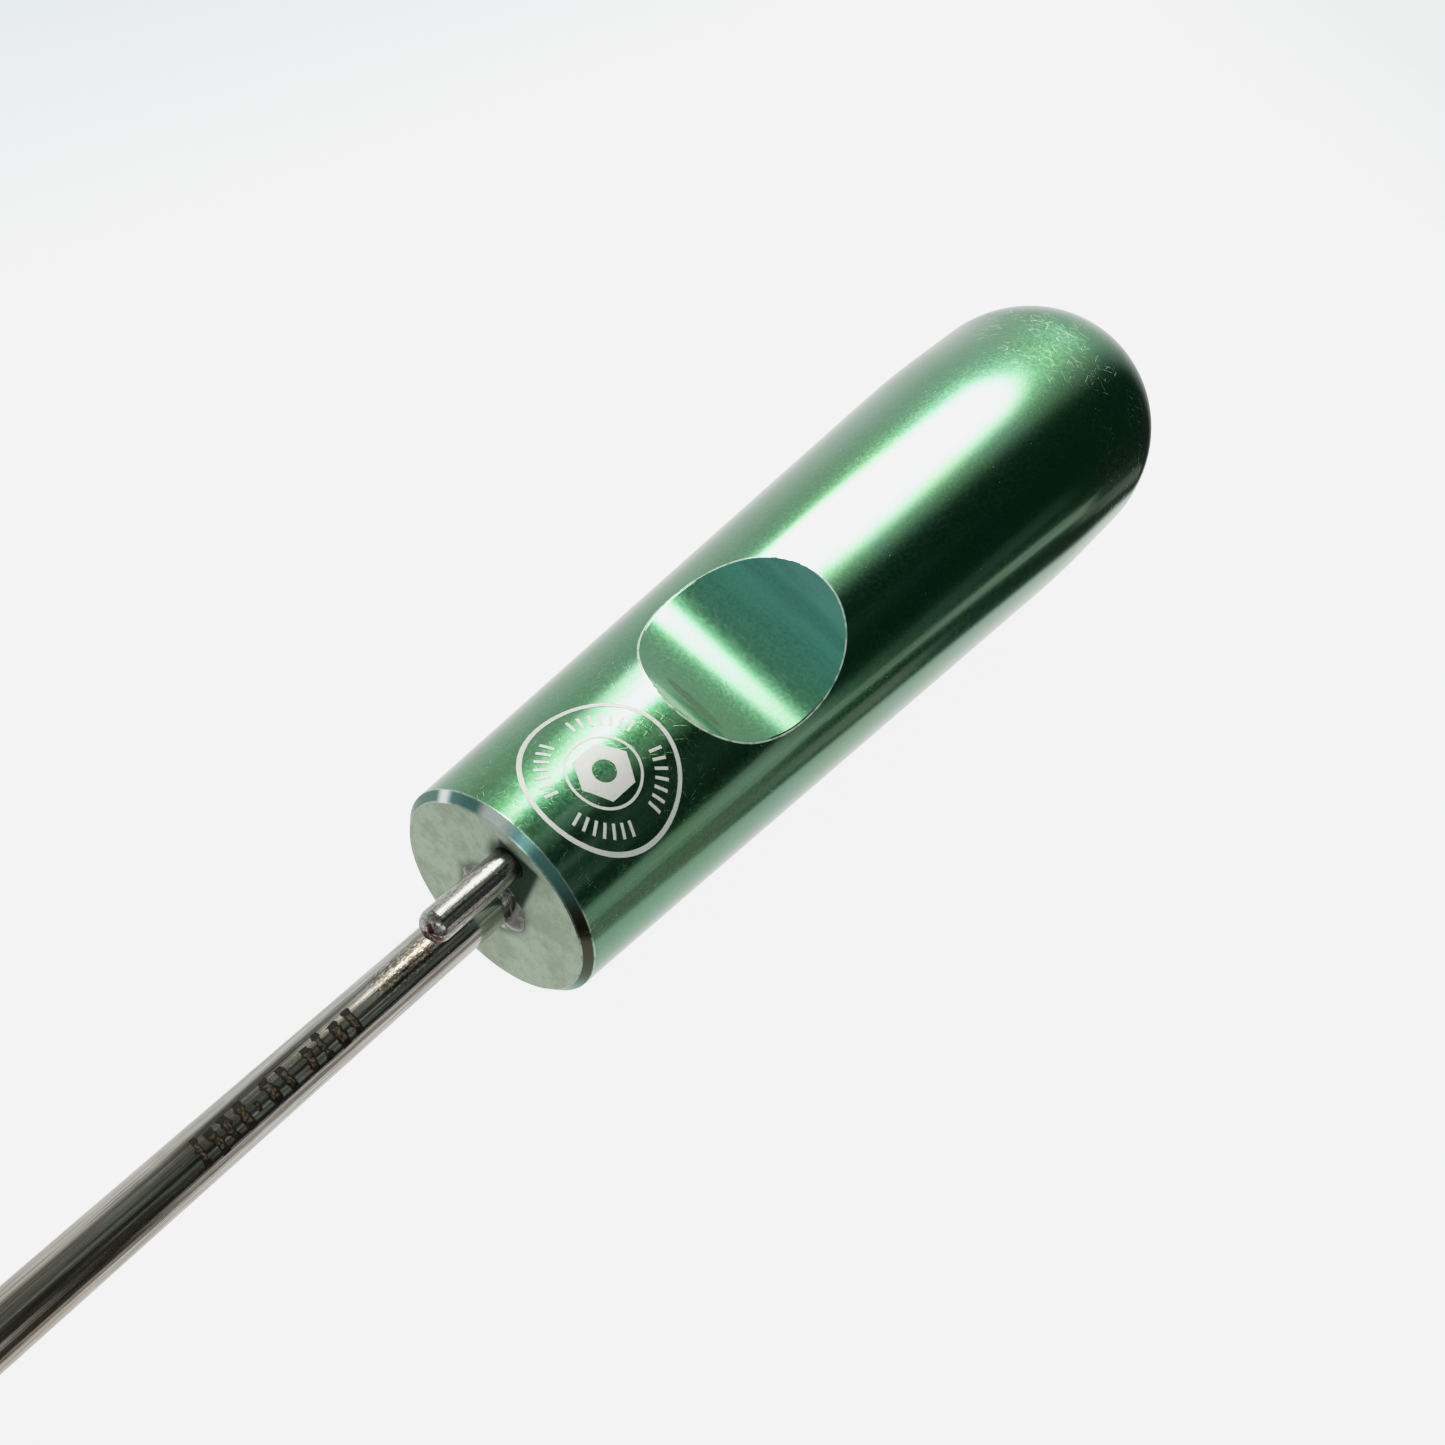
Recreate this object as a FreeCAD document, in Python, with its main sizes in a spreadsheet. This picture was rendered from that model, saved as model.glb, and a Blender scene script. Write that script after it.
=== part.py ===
"""Introducer with a turned palm handle: handle, shaft, alignment pin and the bond at the shaft's root.

Millimetres. The origin is the centre of the handle's front face. +X runs along the shaft to its tip,
and +Z passes through the thumb scallop and the alignment pin. The handle lies on the -X side.
"""

import FreeCAD, Part
import math
import os

import Sketcher

# Driving dimensions: alias, value in mm (angles in degrees), what it is.
DIMENSIONS = [
    ("nose_radius", 11.4, "handle radius at its front face, before the edge chamfer"),
    ("nose_chamfer", 0.85, "chamfer round the front face"),
    ("cone_length", 86.4, "front face to the corner where the cone would meet the barrel"),
    ("barrel_radius", 16.4, "largest handle radius"),
    ("barrel_end", 101.1, "front face to the start of the ball end"),
    ("blend_radius", 170.0, "blend between the cone and the barrel"),
    ("scallop_centre", 31.15, "front face to the middle of the thumb scallop"),
    ("scallop_radius", 21.1, "radius of the scallop's cylindrical floor"),
    ("scallop_floor", 9.65, "handle axis to the deepest line of the scallop"),
    ("scallop_edge", 0.3, "broken edge round the scallop"),
    ("shaft_radius", 2.38, "exposed shaft, 3/16 inch bar"),
    ("shaft_reach", 125.0, "front face to the shaft's tip"),
    ("tip_length", 14.0, "tapered length at the tip"),
    ("tip_radius", 1.4, "shaft radius at the end of its taper"),
    ("tip_round", 1.3, "rounding of the shaft's tip"),
    ("shank_length", 45.0, "shaft held inside the handle"),
    ("groove_radius", 2.1, "shaft radius in the adhesive groove at its root"),
    ("groove_length", 2.0, "length of the grooves at the roots of the shaft and the pin"),
    ("bond_gap", 0.03, "radial gap between the shank and its bore"),
    ("shaft_mouth_radius", 3.75, "countersink round the shaft"),
    ("pin_radius", 1.5875, "exposed part of the alignment pin, 1/8 inch"),
    ("pin_shank_radius", 1.65, "pressed part of the alignment pin and its bore"),
    ("pin_groove_radius", 1.3, "pin radius in the relief groove at its root"),
    ("pin_offset", 7.2, "handle axis to the pin's axis"),
    ("pin_proud", 10.0, "front face to the pin's round end"),
    ("pin_depth", 10.0, "pin held inside the handle"),
    ("pin_lead", 0.4, "chamfer on the pin's hidden end"),
    ("pin_nose_round", 1.35, "rounding of the pin's exposed end"),
    ("countersink_angle", 90.0, "included angle of the countersink"),
    ("bore_clearance", 0.5, "drilled depth left behind the shank and behind the pin"),
]

ORIGIN, X_AXIS, Y_AXIS = -1, -1, -2
START, END, CENTRE = 1, 2, 3
SLACK = 0.01


def make_sheet(doc):
    """Writes the driving dimensions to a spreadsheet and returns them by alias."""
    sheet = doc.addObject("Spreadsheet::Sheet", "sizes")
    for row, (alias, value, meaning) in enumerate(DIMENSIONS, start=1):
        sheet.set(f"A{row}", meaning)
        sheet.set(f"B{row}", str(value))
        sheet.setAlias(f"B{row}", alias)
    doc.recompute()
    return {alias: value for alias, value, meaning in DIMENSIONS}


def amount(size, formula):
    """Adds up aliases joined by + and -, such as "pin_depth + bore_clearance"."""
    total = 0.0
    sign = 1
    for word in formula.split():
        if word in ("+", "-"):
            sign = 1 if word == "+" else -1
        else:
            total += sign * size[word]
    return total


def expression(formula):
    """The same formula as an expression that reads the spreadsheet."""
    words = formula.split()
    return " ".join(word if word in ("+", "-") else f"sizes.{word}" for word in words)


def new_body(doc, label):
    body = doc.addObject("PartDesign::Body", label)
    body.Label = label
    body.Placement = FreeCAD.Placement()
    return body


def new_sketch(body, name, role):
    """Adds a sketch that lies flat on the body's own origin plane with this role."""
    plane = next(feature for feature in body.Origin.OriginFeatures if feature.Role == role)
    sketch = body.newObject("Sketcher::SketchObject", name)
    sketch.AttachmentSupport = [(plane, "")]
    sketch.MapMode = "FlatFace"
    return sketch


def bind(sketch, name, formula, kind, *places):
    """Adds a named dimension to a sketch and drives it from the spreadsheet."""
    index = sketch.addConstraint(Sketcher.Constraint(kind, *places))
    sketch.renameConstraint(index, name)
    sketch.setExpression(f"Constraints.{name}", expression(formula))


def draw_corners(sketch, size, corners):
    """Draws a closed outline whose corners are pairs of formulas, each dimensioned from the origin."""
    points = [FreeCAD.Vector(amount(size, across), amount(size, up), 0) for across, up in corners]
    count = len(points)
    for i in range(count):
        sketch.addGeometry(Part.LineSegment(points[i], points[(i + 1) % count]))
    for i in range(count):
        sketch.addConstraint(Sketcher.Constraint("Coincident", i, END, (i + 1) % count, START))
    for i, (across, up) in enumerate(corners):
        if across:
            bind(sketch, f"across_{i}", across, "DistanceX", ORIGIN, START, i, START, points[i].x)
        else:
            sketch.addConstraint(Sketcher.Constraint("PointOnObject", i, START, Y_AXIS))
        if up:
            bind(sketch, f"up_{i}", up, "DistanceY", ORIGIN, START, i, START, points[i].y)
        else:
            sketch.addConstraint(Sketcher.Constraint("PointOnObject", i, START, X_AXIS))


def turn(body, sketch, name):
    """Turns a closed sketch about the body's X axis."""
    feature = body.newObject("PartDesign::Revolution", name)
    feature.Profile = sketch
    feature.ReferenceAxis = (sketch, ["H_Axis"])
    feature.Angle = 360.0
    return feature


def edges_where(feature, chosen):
    """Names the edges whose every end and middle point passes the test."""
    names = []
    for index, edge in enumerate(feature.Shape.Edges, start=1):
        first, last = edge.ParameterRange
        points = [edge.valueAt(first), edge.valueAt((first + last) / 2), edge.valueAt(last)]
        if all(chosen(point) for point in points):
            names.append(f"Edge{index}")
    return names


def round_edges(body, name, base, chosen, alias):
    """Rounds the edges that pass the test by a spreadsheet radius."""
    feature = body.newObject("PartDesign::Fillet", name)
    feature.Base = (base, edges_where(base, chosen))
    feature.setExpression("Radius", f"sizes.{alias}")
    return feature


def off_axis(point):
    return math.hypot(point.y, point.z)


def draw_handle_profile(sketch, size):
    """Half section of the handle: face, chamfer, cone, blend, barrel, ball end and axis."""
    nose = size["nose_radius"]
    chamfer = size["nose_chamfer"]
    corner_x = -size["cone_length"]
    barrel = size["barrel_radius"]
    blend = size["blend_radius"]
    ball_x = -size["barrel_end"]
    slope = math.atan2(barrel - nose, size["cone_length"] - chamfer)
    setback = blend * math.tan(slope / 2)
    quarter = math.pi / 2
    normal = FreeCAD.Vector(0, 0, 1)

    def point(across, up):
        return FreeCAD.Vector(across, up, 0)

    cone_end = point(corner_x + setback * math.cos(slope), barrel - setback * math.sin(slope))
    blend_circle = Part.Circle(point(corner_x - setback, barrel - blend), normal, blend)
    ball_circle = Part.Circle(point(ball_x, 0), normal, barrel)
    face, edge, cone, shoulder, straight, ball, axis = range(7)
    sketch.addGeometry(Part.LineSegment(point(0, 0), point(0, nose - chamfer)))
    sketch.addGeometry(Part.LineSegment(point(0, nose - chamfer), point(-chamfer, nose)))
    sketch.addGeometry(Part.LineSegment(point(-chamfer, nose), cone_end))
    sketch.addGeometry(Part.ArcOfCircle(blend_circle, quarter - slope, quarter))
    sketch.addGeometry(Part.LineSegment(point(corner_x - setback, barrel), point(ball_x, barrel)))
    sketch.addGeometry(Part.ArcOfCircle(ball_circle, quarter, math.pi))
    sketch.addGeometry(Part.LineSegment(point(ball_x - barrel, 0), point(0, 0)))
    corner = sketch.addGeometry(Part.Point(point(corner_x, barrel)), True)
    joints = [
        ("Coincident", face, START, ORIGIN, START),
        ("PointOnObject", face, END, Y_AXIS),
        ("Coincident", face, END, edge, START),
        ("Coincident", edge, END, cone, START),
        ("Tangent", cone, END, shoulder, START),
        ("Tangent", shoulder, END, straight, START),
        ("Horizontal", straight),
        ("Tangent", straight, END, ball, START),
        ("PointOnObject", ball, CENTRE, X_AXIS),
        ("PointOnObject", ball, END, X_AXIS),
        ("Coincident", ball, END, axis, START),
        ("Coincident", axis, END, face, START),
        ("PointOnObject", corner, START, cone),
        ("PointOnObject", corner, START, straight),
    ]
    for joint in joints:
        sketch.addConstraint(Sketcher.Constraint(*joint))
    bind(sketch, "nose_up", "nose_radius", "DistanceY", ORIGIN, START, edge, END, nose)
    bind(sketch, "chamfer_across", "nose_chamfer", "DistanceX", edge, END, edge, START, chamfer)
    bind(sketch, "chamfer_up", "nose_chamfer", "DistanceY", edge, START, edge, END, chamfer)
    bind(sketch, "corner_across", "cone_length", "DistanceX", corner, START, ORIGIN, START, -corner_x)
    bind(sketch, "blend", "blend_radius", "Radius", shoulder, blend)
    bind(sketch, "ball_across", "barrel_end", "DistanceX", ball, CENTRE, ORIGIN, START, -ball_x)
    bind(sketch, "ball_radius", "barrel_radius", "Radius", ball, barrel)


def drill(doc, size, body, name, up, radius, depth, mouth=None):
    """Drills a blind bore into the front face, at a height above the handle's axis."""
    sketch = new_sketch(body, name + "_centre", "YZ_Plane")
    height = amount(size, up)
    radius_value = amount(size, radius)
    centre = FreeCAD.Vector(0, height, 0)
    sketch.addGeometry(Part.Circle(centre, FreeCAD.Vector(0, 0, 1), radius_value))
    sketch.addConstraint(Sketcher.Constraint("PointOnObject", 0, CENTRE, Y_AXIS))
    if up:
        bind(sketch, "height", up, "DistanceY", ORIGIN, START, 0, CENTRE, height)
    else:
        sketch.addConstraint(Sketcher.Constraint("PointOnObject", 0, CENTRE, X_AXIS))
    bind(sketch, "radius", radius, "Radius", 0, radius_value)
    doc.recompute()
    hole = body.newObject("PartDesign::Hole", name)
    hole.Profile = sketch
    hole.DepthType = "Dimension"
    hole.DrillPoint = "Angled"
    hole.setExpression("Diameter", f"2 * ({expression(radius)})")
    hole.setExpression("Depth", expression(depth))
    if mouth:
        hole.HoleCutType = "Countersink"
        hole.HoleCutCustomValues = True
        hole.setExpression("HoleCutDiameter", f"2 * sizes.{mouth}")
        hole.setExpression("HoleCutCountersinkAngle", "sizes.countersink_angle")
    doc.recompute()
    return hole


def make_handle(doc, size):
    """Turned handle with a thumb scallop and two blind bores in its front face."""
    body = new_body(doc, "handle")
    profile = new_sketch(body, "turned_profile", "XZ_Plane")
    draw_handle_profile(profile, size)
    turned = turn(body, profile, "turned_handle")
    doc.recompute()

    across = -size["scallop_centre"]
    up = size["scallop_floor"] + size["scallop_radius"]
    cutter = new_sketch(body, "scallop_circle", "XZ_Plane")
    circle = Part.Circle(FreeCAD.Vector(across, up, 0), FreeCAD.Vector(0, 0, 1), size["scallop_radius"])
    cutter.addGeometry(circle)
    bind(cutter, "across", "- scallop_centre", "DistanceX", ORIGIN, START, 0, CENTRE, across)
    bind(cutter, "up", "scallop_floor + scallop_radius", "DistanceY", ORIGIN, START, 0, CENTRE, up)
    bind(cutter, "radius", "scallop_radius", "Radius", 0, size["scallop_radius"])
    scallop = body.newObject("PartDesign::Pocket", "thumb_scallop")
    scallop.Profile = cutter
    scallop.Type = "ThroughAll"
    scallop.Midplane = True
    doc.recompute()

    lowest = size["scallop_floor"] - SLACK
    reach = math.sqrt(size["scallop_radius"] ** 2 - (up - size["barrel_radius"]) ** 2)

    def on_scallop_rim(point):
        return point.z > lowest and abs(point.x - across) < reach

    rounded = round_edges(body, "scallop_rim", scallop, on_scallop_rim, "scallop_edge")
    doc.recompute()
    shaft_bore = drill(doc, size, body, "shaft_bore", "", "shaft_radius + bond_gap",
                       "shank_length + bore_clearance", "shaft_mouth_radius")
    pin_bore = drill(doc, size, body, "pin_bore", "pin_offset", "pin_shank_radius",
                     "pin_depth + bore_clearance")
    check_removes("scallop", turned, scallop)
    check_removes("shaft bore", rounded, shaft_bore)
    check_removes("pin bore", shaft_bore, pin_bore)
    body.Tip = pin_bore
    return body


def make_shaft(doc, size):
    """Bar with an adhesive groove at the handle's face and a blunt tapered tip."""
    body = new_body(doc, "shaft")
    profile = new_sketch(body, "shaft_profile", "XZ_Plane")
    draw_corners(profile, size, [
        ("- shank_length", ""),
        ("- shank_length", "shaft_radius"),
        ("- groove_length", "shaft_radius"),
        ("- groove_length", "groove_radius"),
        ("", "groove_radius"),
        ("", "shaft_radius"),
        ("shaft_reach - tip_length", "shaft_radius"),
        ("shaft_reach", "tip_radius"),
        ("shaft_reach", ""),
    ])
    turned = turn(body, profile, "turned_shaft")
    doc.recompute()

    def at_tip(point):
        return point.x > size["shaft_reach"] - SLACK and off_axis(point) > size["tip_radius"] - SLACK

    body.Tip = round_edges(body, "tip", turned, at_tip, "tip_round")
    return body


def make_alignment_pin(doc, size):
    """Pin beside the shaft: a pressed shank, a relief groove at the front face and a rounded end."""
    body = new_body(doc, "alignment_pin")
    profile = new_sketch(body, "pin_profile", "XZ_Plane")
    draw_corners(profile, size, [
        ("- pin_depth", ""),
        ("- pin_depth", "pin_shank_radius - pin_lead"),
        ("- pin_depth + pin_lead", "pin_shank_radius"),
        ("- groove_length", "pin_shank_radius"),
        ("- groove_length", "pin_groove_radius"),
        ("", "pin_groove_radius"),
        ("", "pin_radius"),
        ("pin_proud", "pin_radius"),
        ("pin_proud", ""),
    ])
    turned = turn(body, profile, "turned_pin")
    doc.recompute()

    def at_nose(point):
        return point.x > size["pin_proud"] - SLACK and off_axis(point) > size["pin_radius"] - SLACK

    body.Tip = round_edges(body, "pin_nose", turned, at_nose, "pin_nose_round")
    body.setExpression("Placement.Base.z", "sizes.pin_offset")
    return body


def make_shaft_bond(doc, size):
    """Cured adhesive that fills the countersink and the shaft's groove, flush with the front face."""
    body = new_body(doc, "shaft_bond")
    profile = new_sketch(body, "bond_profile", "XZ_Plane")
    draw_corners(profile, size, [
        ("", "groove_radius"),
        ("", "shaft_mouth_radius"),
        ("- shaft_mouth_radius + shaft_radius + bond_gap", "shaft_radius + bond_gap"),
        ("- groove_length", "shaft_radius + bond_gap"),
        ("- groove_length", "groove_radius"),
    ])
    body.Tip = turn(body, profile, "bond_ring")
    return body


def check_removes(name, before, after):
    """Stops if a cut removed nothing."""
    if after.Shape.Volume >= before.Shape.Volume:
        raise RuntimeError(f"{name} cuts nothing")


def check_document(doc, bodies):
    """Stops if any object failed to compute or any piece isn't one valid solid."""
    for item in doc.Objects:
        if "Invalid" in item.State or "Error" in item.State:
            raise RuntimeError(f"{item.Label} failed: {item.State}")
    for body in bodies:
        shape = body.Shape
        if shape.isNull() or not shape.isValid() or len(shape.Solids) != 1:
            raise RuntimeError(f"{body.Label} isn't one valid solid")


def main():
    doc = FreeCAD.newDocument("introducer")
    size = make_sheet(doc)
    bodies = [
        make_handle(doc, size),
        make_shaft(doc, size),
        make_alignment_pin(doc, size),
        make_shaft_bond(doc, size),
    ]
    doc.recompute()
    check_document(doc, bodies)
    os.makedirs("parts", exist_ok=True)
    for body in bodies:
        body.Shape.exportStep(f"parts/{body.Label}.step")
        print(body.Label, "volume", round(body.Shape.Volume, 2), body.Shape.BoundBox)


main()
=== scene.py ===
"""Looks of the introducer with a turned palm handle: finishes, marks, bond bead, floor, light and camera.

Metres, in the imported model's frame. The origin is the centre of the handle's front face, +X runs along the
shaft to its tip, and +Z passes through the thumb scallop and the alignment pin. Lengths of geometry and the
depths of bumps carry MM. Places inside the materials are plain numbers of millimetres, and angles inside the
world are in degrees.
"""

import math

import bpy
from mathutils import Matrix, Vector, noise


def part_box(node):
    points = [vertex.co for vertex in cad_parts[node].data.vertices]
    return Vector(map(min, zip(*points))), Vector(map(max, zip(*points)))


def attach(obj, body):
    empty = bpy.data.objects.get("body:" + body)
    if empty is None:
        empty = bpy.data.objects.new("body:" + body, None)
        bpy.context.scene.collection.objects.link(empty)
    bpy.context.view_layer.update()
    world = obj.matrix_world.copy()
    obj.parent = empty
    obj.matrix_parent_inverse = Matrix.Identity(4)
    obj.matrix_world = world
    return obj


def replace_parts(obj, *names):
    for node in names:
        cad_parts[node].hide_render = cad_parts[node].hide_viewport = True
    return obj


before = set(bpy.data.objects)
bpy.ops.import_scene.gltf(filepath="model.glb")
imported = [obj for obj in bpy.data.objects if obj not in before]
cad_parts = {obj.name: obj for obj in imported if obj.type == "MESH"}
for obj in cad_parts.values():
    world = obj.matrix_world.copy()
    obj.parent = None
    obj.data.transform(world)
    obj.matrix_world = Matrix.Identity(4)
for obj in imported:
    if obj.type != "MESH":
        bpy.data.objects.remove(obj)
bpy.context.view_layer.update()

MM = 0.001

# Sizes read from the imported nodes. PIN_Z is in plain millimetres, for the materials.
handle_low, handle_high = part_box("handle")
pin_low, pin_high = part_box("alignment_pin")
BARREL_RADIUS = handle_high.y
SHAFT_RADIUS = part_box("shaft")[1].y
BOND_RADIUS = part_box("shaft_bond")[1].y
PIN_LENGTH = pin_high.x
PIN_Z = (pin_low.z + pin_high.z) / 2 / MM

# The handle's cone, from its front edge to the barrel.
NOSE_RADIUS = 11.4 * MM
NOSE_CHAMFER = 0.85 * MM
CONE_END = 86.4 * MM
BALL_CENTRE = handle_low.x + BARREL_RADIUS
CONE_SLOPE = (BARREL_RADIUS - NOSE_RADIUS) / (CONE_END - NOSE_CHAMFER)
BLEND_RADIUS = 170.0 * MM
BLEND_REACH = BLEND_RADIUS * math.tan(math.atan(CONE_SLOPE) / 2)

# The thumb scallop's cutting cylinder, whose axis is parallel to Y, in plain millimetres.
SCALLOP_X = -31.15
SCALLOP_Z = 30.75
SCALLOP_RADIUS = 21.1

# Marks on the handle, in plain millimetres: a lens-shaped painted dark reflection in the scallop, and a nick
# near the face.
LENS_REFLECTION_CENTRE = (-23.45, 0.9)
LENS_REFLECTION_HALF = (0.62, 3.7)
NICK = (-5.2, 10.3, -5.6)

# Camera: where it looks, from which side, how far away, and its turn about the line of sight.
CAMERA_TARGET = Vector((-32.6, 1.96, -0.37)) * MM
CAMERA_AZIMUTH = 103.93
CAMERA_ELEVATION = 52.24
CAMERA_ROLL = 30.80
CAMERA_DISTANCE = 150.97 * MM
CAMERA_LENS = 36.05

# The film's white end, the light that it shows as paper white, the table's own glow to the camera, and the
# room's unit of light. The table's matt part adds the light that its glow lacks.
FILM_WHITE = 1.6
PAPER = (1.55, 1.55, 1.55)
TABLE_GLOW = 1.45
ROOM = 0.896


class Graph:
    """A node tree that is filled by short calls."""

    def __init__(self, tree):
        self.tree = tree
        tree.nodes.clear()

    def add(self, kind, inputs=None, **settings):
        node = self.tree.nodes.new(kind)
        for name, value in settings.items():
            setattr(node, name, value)
        for name, value in (inputs or {}).items():
            self.feed(node.inputs[name], value)
        return node

    def feed(self, socket, value):
        if isinstance(value, bpy.types.NodeSocket):
            self.tree.links.new(value, socket)
        elif socket.type == "RGBA" and len(value) == 3:
            socket.default_value = (*value, 1.0)
        else:
            socket.default_value = value

    def math(self, operation, *values):
        node = self.add("ShaderNodeMath", operation=operation)
        for socket, value in zip(node.inputs, values):
            self.feed(socket, value)
        return node.outputs["Value"]

    def product(self, *values):
        result = values[0]
        for value in values[1:]:
            result = self.math("MULTIPLY", result, value)
        return result

    def total(self, *values):
        result = values[0]
        for value in values[1:]:
            result = self.math("ADD", result, value)
        return result

    def step(self, value, low, high, start=0.0, end=1.0, smooth=True):
        """Goes from start to end while value goes from low to high."""
        node = self.add("ShaderNodeMapRange", interpolation_type="SMOOTHSTEP" if smooth else "LINEAR")
        settings = {"Value": value, "From Min": low, "From Max": high, "To Min": start, "To Max": end}
        for name, item in settings.items():
            self.feed(node.inputs[name], item)
        return node.outputs["Result"]

    def band(self, value, low, high, soft_low, soft_high):
        """One between low and high, falling to nothing over the two softnesses."""
        rise = self.step(value, low - soft_low / 2, low + soft_low / 2)
        fall = self.step(value, high - soft_high / 2, high + soft_high / 2, 1.0, 0.0)
        return self.product(rise, fall)

    def mix(self, factor, first, second):
        node = self.add("ShaderNodeMix", data_type="RGBA")
        self.feed(node.inputs["Factor"], factor)
        self.feed(node.inputs[6], first)
        self.feed(node.inputs[7], second)
        return node.outputs[2]

    def tint(self, colour, factor):
        """A colour multiplied by a number."""
        node = self.add("ShaderNodeVectorMath", operation="SCALE")
        self.feed(node.inputs[0], colour)
        self.feed(node.inputs["Scale"], factor)
        return node.outputs["Vector"]

    def plus(self, first, second):
        node = self.add("ShaderNodeVectorMath", operation="ADD")
        self.feed(node.inputs[0], first)
        self.feed(node.inputs[1], second)
        return node.outputs["Vector"]

    def vector(self, x, y, z):
        return self.add("ShaderNodeCombineXYZ", {"X": x, "Y": y, "Z": z}).outputs["Vector"]

    def parts(self, vector):
        node = self.add("ShaderNodeSeparateXYZ", {"Vector": vector})
        return node.outputs["X"], node.outputs["Y"], node.outputs["Z"]

    def noise(self, vector, scale, detail=3.0, roughness=0.5):
        inputs = {"Vector": vector, "Scale": scale, "Detail": detail, "Roughness": roughness}
        return self.add("ShaderNodeTexNoise", inputs).outputs["Fac"]

    def distance(self, first, second):
        node = self.add("ShaderNodeVectorMath", {0: first, 1: second}, operation="DISTANCE")
        return node.outputs["Value"]

    def dots(self, vector, scale, edge, core):
        """Round dots, one to a cell: nothing beyond the edge distance, full within the core distance."""
        cells = self.add("ShaderNodeTexVoronoi", {"Vector": vector, "Scale": scale, "Randomness": 1.0})
        return self.step(cells.outputs["Distance"], edge, core)

    def place(self):
        """Position on the object in millimetres: the vector, and its three parts."""
        coordinates = self.add("ShaderNodeTexCoord").outputs["Object"]
        vector = self.tint(coordinates, 1 / MM)
        return vector, self.parts(vector)

    def normal(self):
        return self.parts(self.add("ShaderNodeNewGeometry").outputs["Normal"])

    def bump(self, height, depth):
        inputs = {"Height": height, "Distance": depth, "Strength": 1.0}
        return self.add("ShaderNodeBump", inputs).outputs["Normal"]


def new_material(name):
    material = bpy.data.materials.new(name)
    material.use_nodes = True
    return material, Graph(material.node_tree)


def finish_material(graph, **inputs):
    """Ends a material's graph with a Principled shader."""
    named = {name.replace("_", " "): value for name, value in inputs.items()}
    shader = graph.add("ShaderNodeBsdfPrincipled", named)
    graph.add("ShaderNodeOutputMaterial", {"Surface": shader.outputs["BSDF"]})


def scratches(graph, along, around, angles, spacing, reach, amount):
    """Short straight hairlines in a few directions. A larger amount leaves more of them."""
    lines = 0.0
    for index, angle in enumerate(angles):
        c = math.cos(math.radians(angle))
        s = math.sin(math.radians(angle))
        lengthwise = graph.total(graph.product(along, c / reach), graph.product(around, s / reach))
        lengthwise = graph.math("ADD", lengthwise, 7.3 * index)
        across = graph.total(graph.product(along, -s / spacing), graph.product(around, c / spacing))
        field = graph.noise(graph.vector(lengthwise, across, 3.1 * index), 1.0, 1.0)
        lines = graph.math("MAXIMUM", graph.step(field, 0.80 - amount, 0.86 - amount), lines)
    return lines


def scallop_masks(graph, x, z):
    """The thumb scallop's floor, and the thin line along its edge, worn bare and carrying a painted
    highlight.
    """
    across = graph.math("SUBTRACT", x, SCALLOP_X)
    up = graph.math("SUBTRACT", z, SCALLOP_Z)
    reach = graph.math("SQRT", graph.total(graph.product(across, across), graph.product(up, up)))
    over = graph.math("SUBTRACT", reach, SCALLOP_RADIUS)
    return graph.step(over, 0.14, 0.05), graph.band(over, 0.03, 0.15, 0.03, 0.08)


def face_colours(graph, where, y, z):
    """The matt front face: pale grey-green, stained in patches, and the mask of the painted shadow round the
    pin's and shaft's roots and between them.
    """
    stain_and_painted_reflection = graph.step(graph.noise(where, 0.75, 6.0, 0.7), 0.44, 0.68)
    colour = graph.mix(stain_and_painted_reflection, (0.40, 0.48, 0.37), (0.27, 0.36, 0.25))
    blotch = graph.step(graph.noise(where, 2.6, 4.0, 0.7), 0.58, 0.72)
    colour = graph.mix(graph.product(blotch, 0.30), colour, (0.50, 0.50, 0.36))
    patch = graph.step(graph.noise(where, 0.22, 5.0, 0.65), 0.48, 0.60, 0.0, 0.55)
    colour = graph.mix(patch, colour, (0.24, 0.29, 0.19))
    spot = graph.vector(0.0, y, z)
    # Painted shadow: the face goes near black round the pin's root, round the shaft's root and in a band
    # between them.
    pin_root = graph.step(graph.distance(spot, (0.0, 0.0, PIN_Z)), 3.0, 1.7, 0.0, 0.9)
    shaft_root = graph.step(graph.distance(spot, (0.0, 0.0, 0.0)), 4.8, 3.5, 0.0, 0.7)
    between = graph.product(graph.band(y, -1.8, 3.1, 0.9, 0.7), graph.band(z, -0.8, 9.3, 1.0, 0.6))
    dark = graph.math("MAXIMUM", graph.math("MAXIMUM", pin_root, shaft_root), between)
    return graph.mix(dark, colour, (0.016, 0.034, 0.021)), dark


def chamfer_painted_reflections(graph, turn):
    """Painted reflections round the front chamfer: teal, darker on the left, with two pale painted glints,
    then brown, then dull green.
    """
    teal = graph.mix(graph.step(turn, -1.6, -0.3), (0.07, 0.13, 0.095), (0.11, 0.28, 0.26))
    # Painted highlights: two pale glints near the chamfer's top.
    main_painted_glint = graph.band(turn, -0.42, -0.14, 0.14, 0.20)
    small_painted_glint = graph.band(turn, -0.93, -0.80, 0.10, 0.10)
    with_painted_glints = graph.mix(graph.math("MAXIMUM", main_painted_glint, small_painted_glint), teal, (0.92, 1.0, 0.98))
    # Painted dark reflection: a brown band round the chamfer's side.
    brown = graph.mix(graph.band(turn, 0.55, 1.70, 0.5, 0.5), with_painted_glints, (0.050, 0.050, 0.028))
    return graph.mix(graph.step(turn, 1.60, 2.10), brown, (0.13, 0.24, 0.14))


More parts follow.
